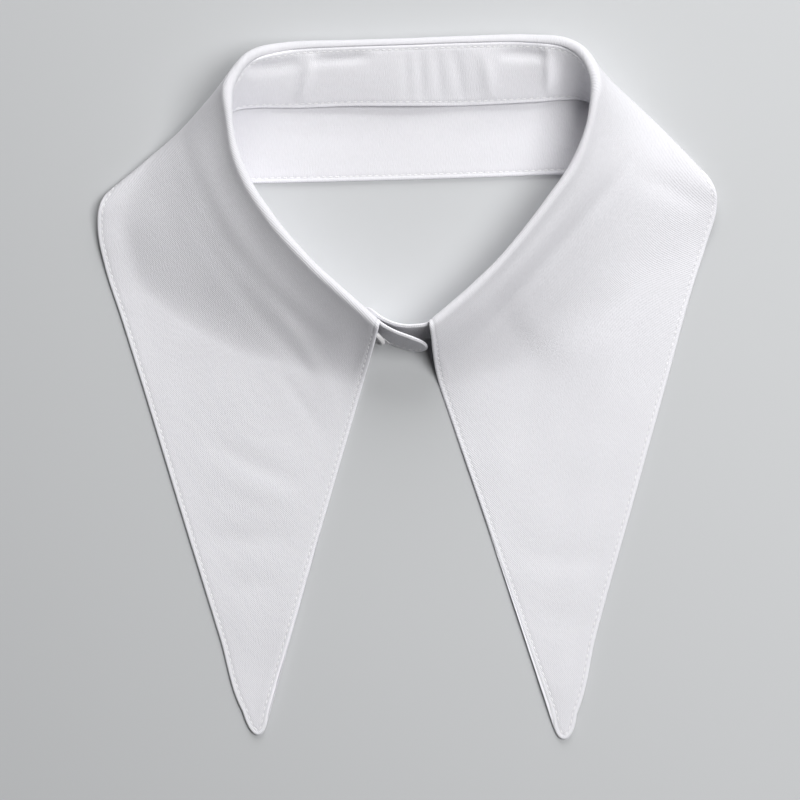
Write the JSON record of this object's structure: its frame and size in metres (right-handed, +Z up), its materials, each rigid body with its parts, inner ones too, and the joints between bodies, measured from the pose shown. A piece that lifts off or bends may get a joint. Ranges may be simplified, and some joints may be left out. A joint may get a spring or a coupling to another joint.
{
  "type": "detachable shirt collar",
  "caption": "Buttoned detachable shirt collar with long points, a low stand and a lapping tab, lying flat with the back of its fall turned under.",
  "frame": {"origin": "middle of the collar's outline, on the surface it lies on", "axes": "+Z up from the surface, +Y toward the back of the neck, -Y toward the points, +X to the right seen from the points"},
  "size_m": [0.2366, 0.2682, 0.029],
  "materials": {
    "fall_cloth": "smooth white woven cloth with a faint satin sheen",
    "under_cloth": "smooth white woven cloth with a faint satin sheen",
    "stand_cloth": "smooth white woven cloth, softly creased",
    "stand_outer_cloth": "smooth white woven cloth",
    "button": "polished white resin"
  },
  "bodies": {
    "root": {"collar_upper": "fall_cloth", "collar_under": "under_cloth", "stand_inner": "stand_cloth", "stand_outer": "stand_outer_cloth", "button": "button"}
  },
  "joints": []
}
